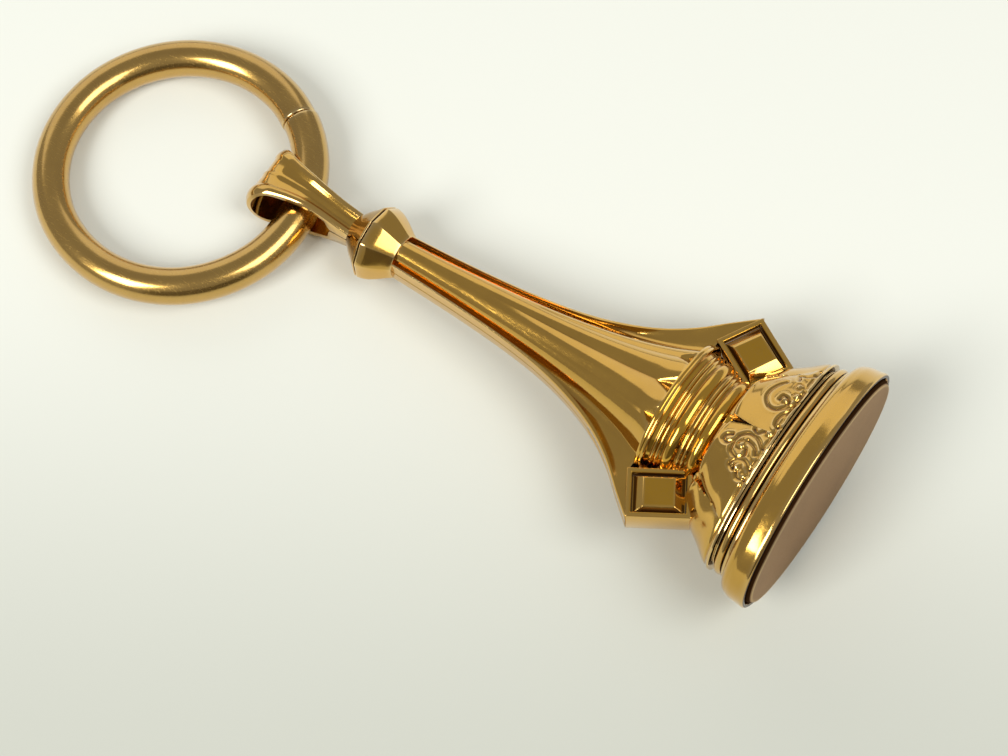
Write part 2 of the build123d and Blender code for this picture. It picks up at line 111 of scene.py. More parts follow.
class FobSizes(bpy.types.PropertyGroup):
    """Sizes of the fob's pieces"""

    bezel_width: size("Bezel half width", "Half of the bezel across the fob", 8.05)
    bezel_depth: size("Bezel half depth", "Half of the bezel from front to back", 5.1)
    bezel_height: size("Bezel height", "Height of the plain band", 1.75)
    plate_proud: size("Plate proud", "How far the seal plate stands out of the bezel", 0.25)
    plate_bevel: size("Plate bevel", "Bevel round the seal plate", 0.15)
    bead: size("Bead radius", "Radius of the bead wire above the bezel", 0.28)
    foot_height: size("Foot height", "Height of the bell-shaped foot", 3.25)
    foot_top_width: size("Foot top half width", "Half width of the foot at the drum", 4.25)
    foot_top_depth: size("Foot top half depth", "Half depth of the foot at the drum", 2.95)
    scroll_rise: size("Scroll rise", "How far the scrolls stand up from the lobes", 0.075)
    drum_height: size("Drum height", "Height of the reeded drum with its sill", 3.5)
    band: size("Band radius", "Radius of the drum's broad bands", 0.42)
    reed: size("Reed radius", "Radius of the drum's fine reeds", 0.11)
    ear_height: size("Ear height", "Long side of the square ears", 3.7)
    ear_width: size("Ear width", "Short side of the square ears", 3.0)
    ear_depth: size("Ear half depth", "Half of the ears from front to back", 0.82)
    column_length: size("Column length", "From the drum's sill to the knop", 18.8)
    wing_width: size("Wing half width", "Half width over the wings at the sill", 6.14)
    panel_width: size("Panel half width", "Half width of the raised panel at the sill", 3.85)
    column_depth: size("Column half depth", "Depth of the front at the middle of the sill", 3.2)
    knop: size("Knop radius", "Radius to the corners of the knop's equator", 2.38)
    bail_height: size("Bail height", "Height of the bail above the knop", 7.12)
    bail_depth: size("Bail half depth", "Half of the loop from front to back", 1.9)
    bail_fold: size("Bail half width", "Half width of the strip at its fold", 2.05)
    ring_radius: size("Ring radius", "From the ring's middle to the middle of its wire", 7.89)
    wire_radius: size("Wire radius", "Radius of the ring's hollow wire", 1.13)


class FobColours(bpy.types.PropertyGroup):
    """Colours of the fob's metals"""

    gold: colour("Gold", "Polished gold of the body", (0.65, 0.375, 0.065))
    deep: colour("Deep gold", "Gold of the drum and ears, less worn", (0.70, 0.37, 0.012))
    ring: colour("Ring gold", "Gold of the jump ring", (0.57, 0.35, 0.092))
    seal: colour("Seal", "Rosy gold of the seal plate", (0.42, 0.27, 0.15))
    # Grime: dirt caked in the joints, and painted shade in the joints and recesses that the pieces
    # mark
    grime_and_shade: colour("Grime and shade", "Dirt caked in the joints", (0.05, 0.02, 0.006))
    worn: colour("Worn edge", "Gold where the edges are rubbed bright", (0.95, 0.78, 0.45))
    tarnish: colour("Tarnish", "Brown film in hollows", (0.20, 0.075, 0.008))
    brass: colour("Inner brass", "Brass of the pieces that don't show", (0.72, 0.52, 0.24))
    paper: colour("Paper", "Sheet that the fob lies on", (0.86, 0.875, 0.79))
    # Painted shade: the paper's darker end stands in for the shadow at the photographer's side
    shade: colour("Paper shade", "Duller end of the sheet", (0.595, 0.61, 0.535))
    room: colour("Room", "Light from the room", (1.0, 0.99, 0.96))


def lengths(context, *names):
    """Sizes from the panel, in millimetres."""
    return [getattr(context.scene.fob_sizes, name) / MM for name in names]


def levels(context):
    """Heights at which the pieces meet along the axis, in millimetres."""
    proud, bezel, foot, drum, column = lengths(
        context, "plate_proud", "bezel_height", "foot_height", "drum_height", "column_length"
    )
    rises = {
        "seat": proud, "bezel_top": bezel, "lip_top": LIP_HEIGHT, "foot_base": MOULDING_HEIGHT,
        "foot_top": foot, "sill": drum, "column_top": column, "equator": KNOP_LOWER,
        "knop_top": KNOP_UPPER,
    }
    return dict(zip(rises, accumulate(rises.values())))


def lip_inset(context):
    """How far inside the bezel's widest line the moulding's lip starts."""
    (bezel,) = lengths(context, "bezel_height")
    return -(bezel * DRAFT + SHOULDER + LIP_SETBACK)


# ---- Mesh tools


WELD = 0.0005  # points closer than this, in millimetres, are one
SHARPEST = 4.0  # most bend that an edge counts for, in radians a millimetre
FULL_BEND = 3.0  # bend of a full ridge or hollow, whose relief is 1 or 0
# A point at this relief gets the full grime colour: caked dirt, and in places painted shade
DARKEST_RELIEF = 0.05  # relief of a joint full of dirt, where a flat face has 0.5


def close(bm):
    """Fills every open edge loop and turns all the faces outwards."""
    rim = [edge for edge in bm.edges if edge.is_boundary]
    if rim:
        bmesh.ops.holes_fill(bm, edges=rim, sides=0)
    bmesh.ops.recalc_face_normals(bm, faces=bm.faces)


def shell(rows):
    """Closed mesh whose wall is a grid of quads through these rows of points."""
    points = [[Vector(p) for p in row] for row in rows]
    across, along = len(points[0]) - 1, len(points) - 1
    bm = bmesh.new()
    made = bmesh.ops.create_grid(bm, x_segments=across, y_segments=along, size=1.0)["verts"]
    for vert in made:
        i = round((vert.co.x + 1) / 2 * across)
        j = round((vert.co.y + 1) / 2 * along)
        vert.co = points[j][i]
    bmesh.ops.remove_doubles(bm, verts=bm.verts, dist=WELD)
    close(bm)
    return bm


def soften(bm, width, steps, least):
    """Rounds the edges that turn by more than this angle."""
    sharp = [
        edge for edge in bm.edges
        if edge.is_manifold and abs(degrees(edge.calc_face_angle())) > least
    ]
    bmesh.ops.bevel(
        bm, geom=sharp, offset=width, offset_type="OFFSET", segments=steps, affect="EDGES",
        profile=0.5, material=-1, clamp_overlap=True,
    )


def values_of(items, attribute, width, kind=float):
    """Values of an attribute, in one row for each of the mesh's items."""
    values = np.empty(len(items) * width, dtype=kind)
    items.foreach_get(attribute, values)
    return values.reshape(-1, width)


def mark_relief(mesh):
    """Keeps on each point how far it stands out of its neighbours, for tarnish and wear."""
    places = values_of(mesh.vertices, "co", 3) / MM
    normals = values_of(mesh.vertex_normals, "vector", 3)
    start, end = values_of(mesh.edges, "vertices", 2, np.int64).T
    way = places[end] - places[start]
    far = np.maximum((way**2).sum(1), 1e-4)
    bend, degree = np.zeros((2, len(places)))
    np.add.at(bend, start, -(normals[start] * way).sum(1) / far)
    np.add.at(bend, end, (normals[end] * way).sum(1) / far)
    for ends in (start, end):
        np.add.at(degree, ends, 1)
    degree = np.maximum(degree, 1)
    bend = np.clip(bend / degree, -SHARPEST, SHARPEST)
    for _ in range(3):
        spread = bend.copy()
        np.add.at(spread, start, bend[end])
        np.add.at(spread, end, bend[start])
        bend = spread / (degree + 1)
    relief = mesh.attributes.new("relief", "FLOAT", "POINT")
    share = np.clip(bend / FULL_BEND, -1, 1) * 0.5 + 0.5
    relief.data.foreach_set("value", share.astype(np.float32))


def finish_piece(
    name, bm, metal, nodes, body="fob", place=BODY, sharp=40.0, dirt_and_shade=None
):
    """Puts the mesh in its place, gives it its material, and hides the CAD parts that it stands
    for.

    The last argument gives each point's share of the grime colour: dirt that a joint holds, and
    painted shade in joints and recesses."""
    darkening = [dirt_and_shade(vert.co) for vert in bm.verts] if dirt_and_shade else []
    bmesh.ops.transform(bm, matrix=place, verts=bm.verts)
    for face in bm.faces:
        face.smooth = True
    mesh = bpy.data.meshes.new(name)
    bm.to_mesh(mesh)
    bm.free()
    if not mesh.polygons:
        raise RuntimeError(name + " came out empty")
    mesh.set_sharp_from_angle(angle=radians(sharp))
    mark_relief(mesh)
    # Dirt and painted shade: the points that a piece marks get the relief of a caked joint, so the
    # grime colour darkens them
    for index, share in enumerate(darkening):
        if share > 0.02:
            spot = mesh.attributes["relief"].data[index]
            spot.value = between(spot.value, DARKEST_RELIEF, min(share, 1.0))
    mesh.materials.append(metal)
    piece = bpy.data.objects.new(name, mesh)
    bpy.context.scene.collection.objects.link(piece)
    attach(piece, body)
    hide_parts(*nodes)


def turns(count):
    """Angles once round, the first one again at the end."""
    return [2 * pi * step / count for step in range(count + 1)]


def oval_rows(outline, count):
    """Rows of points round ovals of these half widths, half depths and heights."""
    return [
        [(wide * cos(t), deep * sin(t), height) for t in turns(count)]
        for wide, deep, height in outline
    ]


def curve(heights, values):
    """Smooth curve through these values."""
    slopes = []
    for k in range(len(heights)):
        low, high = max(k - 1, 0), min(k + 1, len(heights) - 1)
        slopes.append((values[high] - values[low]) / (heights[high] - heights[low]))

    def at(height):
        k = 0
        while k < len(heights) - 2 and height > heights[k + 1]:
            k += 1
        span = heights[k + 1] - heights[k]
        t = min(max((height - heights[k]) / span, 0), 1)
        start = (1 + 2 * t) * values[k] + t * span * slopes[k]
        end = (3 - 2 * t) * values[k + 1] - (1 - t) * span * slopes[k + 1]
        return (1 - t) ** 2 * start + t**2 * end

    return at


def between(start, end, share):
    """Size this share of the way from start to end."""
    return start + (end - start) * share


def smooth_step(low, high, value):
    """Soft step from 0 to 1."""
    t = min(max((value - low) / (high - low), 0), 1)
    return t * t * (3 - 2 * t)


def swell(off, width):
    """Round hump of height 1, this far off its middle."""
    return np.exp(-((off / width) ** 2))


# ---- Materials


# Colour sockets of a Mix node: its two inputs and its output
MIX_FIRST, MIX_SECOND, MIX_RESULT = 6, 7, 2


def feed(tree, node, inputs):
    """Links each of these inputs to another node's output, or gives it a plain value."""
    for key, value in inputs.items():
        if isinstance(value, bpy.types.NodeSocket):
            tree.links.new(value, node.inputs[key])
        else:
            node.inputs[key].default_value = value


def add_node(tree, kind, inputs, **settings):
    """Shader node with these settings and inputs."""
    node = tree.nodes.new("ShaderNode" + kind)
    for name, value in settings.items():
        setattr(node, name, value)
    feed(tree, node, inputs)
    return node


def mix(tree, share, first, second):
    """Colour between two others."""
    inputs = {"Factor": share, MIX_FIRST: first, MIX_SECOND: second}
    return add_node(tree, "Mix", inputs, data_type="RGBA").outputs[MIX_RESULT]


def new_material(name, inputs):
    """Material whose shader has these plain inputs."""
    made = bpy.data.materials.new(name)
    made.use_nodes = True
    feed(made.node_tree, made.node_tree.nodes["Principled BSDF"], inputs)
    return made


def handling_group():
    """Node group for handled metal: tarnish, dirt and painted shade in joints, worn edges,
    hairlines and small dents.
    """
    group = bpy.data.node_groups.get("Handled metal")
    if group:
        return group
    group = bpy.data.node_groups.new("Handled metal", "ShaderNodeTree")
    for title, start in (
        ("Colour", (0.9, 0.6, 0.25, 1)), ("Tarnish", (0.3, 0.13, 0.04, 1)),
        ("Tarnish amount", 0.5), ("Grime and shade", (0.05, 0.02, 0.006, 1)),
        ("Worn", (0.95, 0.78, 0.45, 1)), ("Wear", 0.4), ("Roughness", 0.16), ("Cloud", 0.08),
        ("Scratches", 0.5),
    ):
        kind = "NodeSocketColor" if isinstance(start, tuple) else "NodeSocketFloat"
        made = group.interface.new_socket(name=title, in_out="INPUT", socket_type=kind)
        made.default_value = start
    for title, kind in (("Colour", "Color"), ("Roughness", "Float"), ("Height", "Float")):
        group.interface.new_socket(name=title, in_out="OUTPUT", socket_type="NodeSocket" + kind)
    given = group.nodes.new("NodeGroupInput").outputs
    object_place = add_node(group, "TexCoord", {}).outputs["Object"]
    millimetre_place = add_node(
        group, "Mapping", {"Vector": object_place, "Scale": (1 / MM, 1 / MM, 1 / MM)}
    ).outputs["Vector"]

    def noise(scale, detail, rough, place=millimetre_place):
        inputs = {"Scale": scale, "Detail": detail, "Roughness": rough, "Vector": place}
        return add_node(group, "TexNoise", inputs).outputs["Fac"]

    def sums(operation, first, second, clamp=False):
        inputs = {0: first, 1: second}
        made = add_node(group, "Math", inputs, operation=operation, use_clamp=clamp)
        return made.outputs[0]

    def span(value, low, high, to_low=0.0, to_high=1.0):
        inputs = {"From Min": low, "From Max": high, "To Min": to_low, "To Max": to_high}
        return add_node(group, "MapRange", {**inputs, "Value": value}).outputs["Result"]

    def hairlines(turn, stretch, scale, least):
        """Mask of thin lines, from noise stretched along this direction."""
        inputs = {"Vector": millimetre_place, "Rotation": (0.0, 0.0, turn), "Scale": stretch}
        lay = add_node(group, "Mapping", inputs).outputs["Vector"]
        return span(noise(scale, 2.0, 0.6, lay), least, least + 0.05)

    cloud = noise(0.45, 3.0, 0.55)
    grain = noise(14.0, 4.0, 0.6)
    dents = noise(1.1, 2.0, 0.5)
    lines = hairlines(0.5, (0.35, 9.0, 9.0), 1.0, 0.63)
    lines = sums("MAXIMUM", lines, hairlines(-0.75, (0.5, 12.0, 12.0), 1.0, 0.65))
    lines = sums("MAXIMUM", lines, hairlines(1.35, (0.4, 8.0, 8.0), 1.3, 0.66))
    scratch = sums("MULTIPLY", lines, given["Scratches"])
    relief = add_node(group, "Attribute", {}, attribute_name="relief").outputs["Fac"]
    hollow = span(relief, 0.47, 0.22)
    ridge = span(relief, 0.56, 0.85)
    # The most hollow points, and those that a piece marks, take the grime colour: caked dirt, and
    # in places painted shade
    caked_and_shaded = span(relief, 0.18, 0.06)
    film = sums("MULTIPLY", hollow, given["Tarnish amount"])
    patch = sums("MULTIPLY", span(cloud, 0.45, 0.75), given["Cloud"])
    dirt = sums("ADD", film, patch, clamp=True)
    tint = mix(group, dirt, given["Colour"], given["Tarnish"])
    tint = mix(group, caked_and_shaded, tint, given["Grime and shade"])
    tint = mix(group, sums("MULTIPLY", ridge, given["Wear"]), tint, given["Worn"])
    rough = sums("ADD", given["Roughness"], span(grain, 0.3, 0.7, -0.02, 0.05))
    for mask, more in ((scratch, 0.22), (film, 0.18), (caked_and_shaded, 0.25)):
        rough = sums("ADD", rough, sums("MULTIPLY", mask, more))
    rough = sums("SUBTRACT", rough, sums("MULTIPLY", ridge, 0.04), clamp=True)
    high = sums("ADD", sums("MULTIPLY", grain, 0.12), dents)
    high = sums("SUBTRACT", high, sums("MULTIPLY", scratch, 0.10))
    out = group.nodes.new("NodeGroupOutput")
    feed(group, out, {"Colour": tint, "Roughness": rough, "Height": high})
    return group


def metal(
    name, base, roughness, cloud, scratches,
    film=0.5, bump=0.006, coat=0.6, edge=None, wear=0.4, tarnish="tarnish",
):
    """Gold-filled metal with signs of handling, in two of the panel's colours."""
    if name in bpy.data.materials:
        return bpy.data.materials[name]
    inputs = {"Metallic": 1.0, "Coat Weight": coat, "Coat Roughness": 0.08}
    if edge:
        inputs["Specular Tint"] = (*edge, 1)
    made = new_material(name, inputs)
    tree = made.node_tree
    tints = bpy.context.scene.fob_colours
    inputs = {
        "Colour": (*getattr(tints, base), 1), "Tarnish": (*getattr(tints, tarnish), 1),
        "Tarnish amount": film, "Grime and shade": (*tints.grime_and_shade, 1), "Worn": (*tints.worn, 1),
        "Wear": wear, "Roughness": roughness, "Cloud": cloud, "Scratches": scratches,
    }
    handled = add_node(tree, "Group", inputs, node_tree=handling_group()).outputs
    inputs = {"Strength": 1.0, "Distance": bump * MM, "Height": handled["Height"]}
    lift = add_node(tree, "Bump", inputs).outputs["Normal"]
    inputs = {"Base Color": handled["Colour"], "Roughness": handled["Roughness"], "Normal": lift}
    feed(tree, tree.nodes["Principled BSDF"], inputs)
    return made


def body_gold():
    """Polished gold of the fob's body."""
    return metal("Body gold", "gold", 0.11, 0.12, 0.25, film=0.7)


def deep_gold():
    """Gold of the drum and ears, where nothing rubs it."""
    return metal("Deep gold", "deep", 0.09, 0.12, 0.2, coat=1.0, wear=0.15)


def satin_gold():
    """Duller gold of the column and foot, worn by the pocket."""
    return metal("Satin gold", "gold", 0.11, 0.12, 0.3, film=0.42, bump=0.003)


def ring_gold():
    """Gold of the ring, with fine wear from the chain."""
    return metal("Ring gold", "ring", 0.19, 0.14, 0.4, film=0.4)


def seal_metal():
    """Satin rosy gold of the seal plate, with a dark film."""
    edge = (0.72, 0.63, 0.56)
    return metal(
        "Seal metal", "seal", 0.33, 0.10, 0.5,
        film=1.0, coat=0.0, edge=edge, wear=0.6, tarnish="grime_and_shade",
    )


# ---- Pieces


class FOB_OT_ring(bpy.types.Operator):
    """Jump ring: hollow wire bent round, with a butt joint"""

    bl_idname = "fob.ring"
    bl_label = "Jump Ring"

    def execute(self, context):
        radius, wire = lengths(context, "ring_radius", "wire_radius")
        joint, gap = radians(42.0), 0.035 / radius
        joint_reach, proud, lean = 0.16, 0.07, 0.03
        bm = bmesh.new()
        stand = Matrix.Translation((radius, 0, 0)) @ Matrix.Rotation(radians(90), 4, "X")
        rim = bmesh.ops.create_circle(bm, segments=56, radius=wire, matrix=stand)["verts"]
        bmesh.ops.rotate(
            bm, verts=rim, cent=(0, 0, 0), matrix=Matrix.Rotation(joint + gap / 2, 3, "Z")
        )
        bmesh.ops.spin(
            bm, geom=bm.verts[:] + bm.edges[:], cent=(0, 0, 0), axis=(0, 0, 1),
            angle=2 * pi - gap, steps=240, use_merge=False,
        )
        # One end of the wire stands slightly proud of the other at the joint
        for vert in bm.verts:
            turn = (atan2(vert.co.y, vert.co.x) - joint) % (2 * pi)
            end = swell(turn, joint_reach)
            wave = 0.012 * sin(3 * turn + 0.4) + 0.008 * sin(7 * turn)
            out = Vector((vert.co.x, vert.co.y, 0)).normalized()
            vert.co -= out * (proud * end + abs(wave))
            vert.co.z += lean * end
        close(bm)
        soften(bm, 0.09, 3, 60.0)
        finish_piece(
            "Ring", bm, ring_gold(), ["jump_ring"], "ring", place=RING, sharp=32.0
        )
        return {"FINISHED"}


class FOB_OT_bail(bpy.types.Operator):
    """Bail: one fluted strip with rolled edges, folded over into a loop"""

    bl_idname = "fob.bail"
    bl_label = "Bail"

    def execute(self, context):
        neck = levels(context)["knop_top"]
        height, depth, fold = lengths(context, "bail_height", "bail_depth", "bail_fold")
        foot, belly, top = neck - 0.1, neck + 4.3, neck + height
        centre = top - depth
        strip, rib, crown, flute = 0.42, 0.14, 0.4, 0.16
        leaf = curve((0.0, 0.25, 0.5, 0.75, 1.0), (0.80, 1.13, 1.52, 1.82, depth))
        spread = curve((0.0, 0.2, 0.42, 0.7, 1.0), (0.88, 0.90, 1.03, 1.42, fold))

        # Path of the strip's outside: up the front leaf, round the fold, down the back
        leaf_steps, straight_steps, fold_steps = 40, 6, 36
        path = []
        for share in [step / leaf_steps for step in range(leaf_steps + 1)]:
            path.append((-leaf(share), between(foot, belly, share)))
        for step in range(1, straight_steps + 1):
            path.append((-depth, between(belly, centre, step / straight_steps)))
        bends = [pi * step / fold_steps for step in range(1, fold_steps)]
        arc = [(-depth * cos(t), centre + depth * sin(t)) for t in bends]
        path += arc + [(-y, z) for y, z in reversed(path)]
        across = 28
        rows = []
        for k, (y, z) in enumerate(path):
            (y0, z0), (y1, z1) = path[max(k - 1, 0)], path[min(k + 1, len(path) - 1)]
            long = hypot(y1 - y0, z1 - z0)
            out_y, out_z = -(z1 - z0) / long, (y1 - y0) / long
            half = spread(min(max((z - neck) / height, 0), 1))
            roll = 0.06 + 0.17 * half
            inner = (half - 2 * roll) or 1
            # The two leaves meet at the neck, and further up the strip has its own thickness
            thick = between(abs(y) - 0.002, strip, smooth_step(neck + 0.9, neck + 1.5, z))
            drop = crown * smooth_step(belly, top, z) / fold**2
            row = []
            for x in [half * (2 * step / across - 1) for step in range(across + 1)]:
                edge = half - abs(x)
                if edge < 2 * roll:
                    lift = rib * sqrt(max(1 - ((edge - roll) / roll) ** 2, 0)) - rib
                else:
                    lift = -rib - flute * (1 - (x / inner) ** 2) + 0.06 * swell(x, 0.12)
                row.append((x, y + out_y * lift, z + out_z * lift - drop * x * x))
            for step in range(across, -1, -1):
                x = (half - 0.03) * (2 * step / across - 1)
                row.append((x, y - out_y * thick, z - out_z * thick - drop * x * x))
            rows.append(row + row[:1])
        finish_piece("Bail", shell(rows), body_gold(), ["bail"])
        return {"FINISHED"}


class FOB_OT_knop(bpy.types.Operator):
    """Knop: two faceted cups joined at the equator"""

    bl_idname = "fob.knop"
    bl_label = "Knop"

    def execute(self, context):
        at = levels(context)
        (wide,) = lengths(context, "knop")
        foot, neck = 1.42, 1.02
        facets, parts = 10, 4
        half_turn = pi / facets

        def cup(name, node, low, high, inner, shares, round_off):
            """Cup of flat facets near the equator that turn round towards its end."""
            rows = []
            for share, out in shares:
                row = []
                for step in range(facets * parts + 1):
                    off = (step % parts) / parts * 2 * half_turn
                    flat = cos(half_turn) / cos(off - half_turn)
                    reach = between(inner, wide, out) * between(flat, 1.0, round_off(share))
                    turn = half_turn + 2 * half_turn * step / parts
                    row.append((reach * cos(turn), reach * sin(turn), between(low, high, share)))
                rows.append(row)
            bm = shell(rows)
            soften(bm, 0.06, 3, 14.0)
            finish_piece(name, bm, body_gold(), [node], sharp=50.0)

        base, middle, top = at["column_top"], at["equator"], at["knop_top"]
        # Each cup's outline: share of its height, and of the way out to the equator
        shares = [(k / 12, sin(pi / 2 * k / 12) ** 1.15) for k in range(12)] + [(0.985, 1.0)]
        cup(
            "KnopLowerCup", "knop_lower_cup", base, middle, foot, shares,
            lambda share: 0.25 * (1 - share),
        )
        shares = [(0.03, 1.0), (0.10, 0.96), (0.2, 0.85), (0.32, 0.72), (0.46, 0.58)]
        shares += [(0.62, 0.42), (0.78, 0.24), (0.9, 0.1), (1.0, 0.0)]
        cup(
            "KnopUpperCup", "knop_upper_cup", middle, top, neck, shares,
            lambda share: min(1, 1.6 * share),
        )
        return {"FINISHED"}


class FOB_OT_column(bpy.types.Operator):
    """Column: two stamped half shells with wings and a fluted panel"""

    bl_idname = "fob.column"
    bl_label = "Column"

    heights = (-0.09, 0.0, 0.08, 0.17, 0.28, 0.41, 0.56, 0.71, 0.86, 1.0)
    wings = (1.25, 1.015, 0.80, 0.62, 0.475, 0.36, 0.285, 0.24, 0.21, 0.19)
    panels = (1.12, 1.0, 0.835, 0.69, 0.56, 0.45, 0.365, 0.308, 0.265, 0.24)
    depths = (1.10, 1.0, 0.875, 0.76, 0.66, 0.575, 0.51, 0.465, 0.435, 0.42)
    edges = (1.05, 1.0, 0.95, 0.90, 0.855, 0.81, 0.76, 0.715, 0.675, 0.64)
    flutes = (0.30, 0.29, 0.26, 0.22, 0.16, 0.09, 0.03, 0.0, 0.0, 0.0)

    def execute(self, context):
        at = levels(context)
        sill, top = at["sill"], at["column_top"]
        wing_half, panel_half, deep, rim = lengths(
            context, "wing_width", "panel_width", "column_depth", "ear_depth"
        )
        tables = [
            curve(self.heights, values)
            for values in (self.wings, self.panels, self.depths, self.edges, self.flutes)
        ]
        ear_start, ear_x, ear_z = 4.95, 4.762, sill + 0.11
        groove, roll_radius, cove = 0.40, 0.24, 0.10
        lean, crown_steps, flank_steps = radians(64.0), 10, 22
        quarter = [pi / 8 * k for k in range(1, 5)]

        def section(z):
            """Right half of the front outline at this height, from the side to the middle."""
            share = (z - sill) / (top - sill)
            wing, panel, depth, edge, carve = [table(share) for table in tables]
            wing, panel, depth = wing * wing_half, panel * panel_half, depth * deep
            low = 0.42 * edge * PANEL_EDGE_DEPTH
            gap = min(groove, 0.45 * (wing - panel))
            roll = min(roll_radius, 0.4 * (wing - panel))
            points = [(wing - 0.04, 0.0), (wing - 0.035, 0.02), (wing, 0.06), (wing, rim - roll)]
            points += [(wing - roll * (1 - cos(t)), rim - roll * (1 - sin(t))) for t in quarter]
            x0, x1 = wing - roll, panel + gap + 0.04
            for s in [step / 9 for step in range(1, 10)]:
                hollow = cove * sin(pi * s) * min(1, (x0 - x1) / 1.2)
                points.append((between(x0, x1, s), between(rim, low, s) - hollow))
            for t in quarter[:3]:
                points.append((panel + 0.05 + gap * (1 - sin(t)), low + 0.12 * (1 - cos(t))))
            # The panel rises from its groove in a round flank to a flat crown
            climb = depth - low
            flank = min(climb, 0.98 * panel)
            crown_edge = panel - flank
            profile = []
            for t in [lean * k / flank_steps for k in range(flank_steps, 0, -1)]:
                rise = climb * (cos(t) - cos(lean)) / (1 - cos(lean))
                profile.append((crown_edge + flank * sin(t) / sin(lean), low + rise))
            profile += [(crown_edge * k / crown_steps, depth) for k in range(crown_steps, -1, -1)]
            # Three lobes run up the panel, and their flutes die out towards the knop
            flute = 0.56 * panel
            for x, d in profile[2:]:
                lobe = x / flute if x < flute else min((x - flute) / (panel - flute), 0.5)
                d -= carve * (1 - abs(sin(pi * lobe)))
                # Petal tips leave small pointed recesses above the sill
                for middle, reach in ((flute, 0.9), (0.0, 1.15)):
                    up = 1 - (z - sill) / reach
                    if up > 0:
                        d -= 0.42 * up * max(0, 1 - abs(x - middle) / (0.62 * up + 0.01))
                points.append((x, d))
            return points

        def floor_at(x):
            """Height of the sill, or of the ear's sloping top past its start."""
            return sill if x < ear_start else ear_z - (x - ear_x) * tan(EAR_TILT)

        count = len(section(sill))
        lows = []
        for index in range(count):
            low, high = sill - 1.65, sill + 0.5
            for _ in range(24):
                middle = (low + high) / 2
                if middle > floor_at(section(middle)[index][0]):
                    high = middle
                else:
                    low = middle
            lows.append(high)
        steps = 130
        rows = []
        for step in range(steps + 1):
            share = (step / steps) ** 1.15
            right = []
            for index in range(count):
                z = between(lows[index], top, share)
                x, d = section(z)[index]
                right.append((x, -d, z))
            left = [(-x, y, z) for x, y, z in reversed(right[:-1])]
            rows.append(right + left)
        rows.insert(0, [(x, 0.0, z) for x, _, z in rows[0]])
        rows.append([(x, 0.0, z) for x, _, z in rows[-1]])
        for name, node, side in (
            ("ColumnFront", "column_front_shell", 1), ("ColumnBack", "column_back_shell", -1)
        ):
            bm = shell([[(x, y * side, z) for x, y, z in row] for row in rows])
            finish_piece(name, bm, satin_gold(), [node], sharp=38.0)
        return {"FINISHED"}


class FOB_OT_ears(bpy.types.Operator):
    """Square ears: a frame, a recess and a bevelled boss on both faces"""

    bl_idname = "fob.ears"
    bl_label = "Ears"

    # Insets from the rim inwards: how wide each is, and how far out it ends
    recess = ((0.06, 0.015), (0.34, -0.015), (0.08, -0.32), (0.10, 0.0))
    boss, boss_shape = (0.36, 0.42), (1.1, 1.0, 0.78)
    boss_face = ((0.05, 0.02), (0.10, 0.012), (0.08, 0.006), (0.08, 0.003), (0.08, 0.0))

    def execute(self, context):
        high, wide, deep = lengths(context, "ear_height", "ear_width", "ear_depth")
        tip_z = levels(context)["sill"] - EAR_TIP_BELOW_SILL
        x = EAR_TIP - (high * sin(EAR_TILT) + wide * cos(EAR_TILT)) / 2
        z = tip_z - (high * cos(EAR_TILT) - wide * sin(EAR_TILT)) / 2
        for side, name, node in ((1, "EarRight", "right_ear"), (-1, "EarLeft", "left_ear")):
            bm = bmesh.new()
            bmesh.ops.create_cube(bm, size=1.0)
            bmesh.ops.scale(bm, vec=(wide, 2 * deep, high), verts=bm.verts)
            for facing in (-1, 1):
                bm.normal_update()
                face = max(bm.faces, key=lambda f: f.calc_center_median().y * facing)
                for width, rise in (*self.recess, self.boss, *self.boss_face):
                    bmesh.ops.inset_individual(bm, faces=[face], thickness=width, depth=rise)
                    if (width, rise) == self.boss:
                        bmesh.ops.scale(bm, vec=self.boss_shape, verts=face.verts[:])
            soften(bm, 0.07, 3, 24.0)
            spin = Matrix.Rotation(side * EAR_TILT, 3, "Y")
            bmesh.ops.rotate(bm, verts=bm.verts, cent=(0, 0, 0), matrix=spin)
            bmesh.ops.translate(bm, verts=bm.verts, vec=(side * x, 0, z))
            finish_piece(name, bm, deep_gold(), [node])
        return {"FINISHED"}


class FOB_OT_drum(bpy.types.Operator):
    """Drum: an oval wall with broad bands and fine reeds under a sill"""

    bl_idname = "fob.drum"
    bl_label = "Reeded Drum"

    def execute(self, context):
        at = levels(context)
        low, sill = at["foot_top"], at["sill"]
        throat = sill - SILL_HEIGHT
        band, reed = lengths(context, "band", "reed")
        # Share of the height, radius and depth in the wall of each band and reed
        ribs = [(place, band, band / 2) for place in (0.13, 0.53)]
        ribs += [(place, reed, reed / 4) for place in (0.30, 0.37, 0.70, 0.77)]
        outline = []
        steps = 104
        for step in range(steps + 1):
            z = between(low - 0.25, throat, step / steps)
            rise = 0.0
            for place, radius, sink in ribs:
                off = z - between(low, sill, place)
                if abs(off) < radius:
                    rise = max(rise, sqrt(radius**2 - off**2) - sink)
            share = (z - low) / (throat - low)
            wall = [between(*ends, share) + rise for ends in zip(DRUM_BOTTOM, DRUM_TOP)]
            outline.append((*wall, z))
        # The sill: a ledge with rounded edges and a shallow step on its side
        for out, up in (
            (-0.10, 0.0), (-0.02, 0.02), (0.0, 0.06), (0.0, 0.17), (-0.025, 0.20),
            (0.0, 0.23), (0.0, 0.36), (-0.035, 0.43), (-0.12, 0.45), (-0.5, 0.45),
        ):
            outline.append((SILL[0] + out, SILL[1] + out, throat + up))
        finish_piece("Drum", shell(oval_rows(outline, 176)), deep_gold(), ["reeded_drum"])
        return {"FINISHED"}


